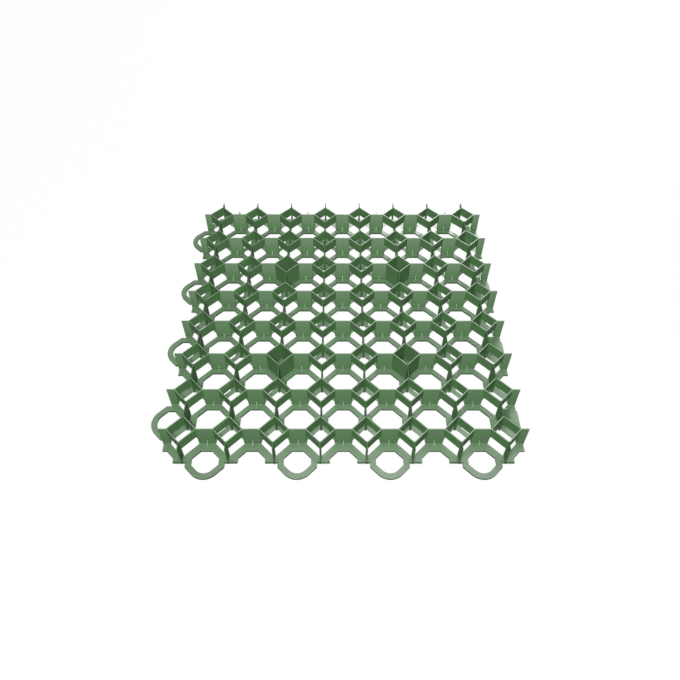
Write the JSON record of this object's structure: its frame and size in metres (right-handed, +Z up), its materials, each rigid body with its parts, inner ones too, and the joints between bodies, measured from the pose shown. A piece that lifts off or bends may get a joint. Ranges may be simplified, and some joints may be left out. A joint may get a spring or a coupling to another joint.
{
  "type": "grass paver grid",
  "caption": "Square moulded plastic ground grid with octagon and diamond cells, windowed walls, a flat base flange and coupling loops on two edges.",
  "frame": {"origin": "middle of the footprint, coupling loops included, on the ground", "axes": "+Z up out of the ground, loops on the -X and -Y edges, filled gaps with fins on the +X and +Y edges"},
  "size_m": [0.5221, 0.5221, 0.0396],
  "materials": {
    "grid": "satin moulded green polyethylene"
  },
  "bodies": {
    "root": {"paver_grid": "grid"}
  },
  "joints": []
}
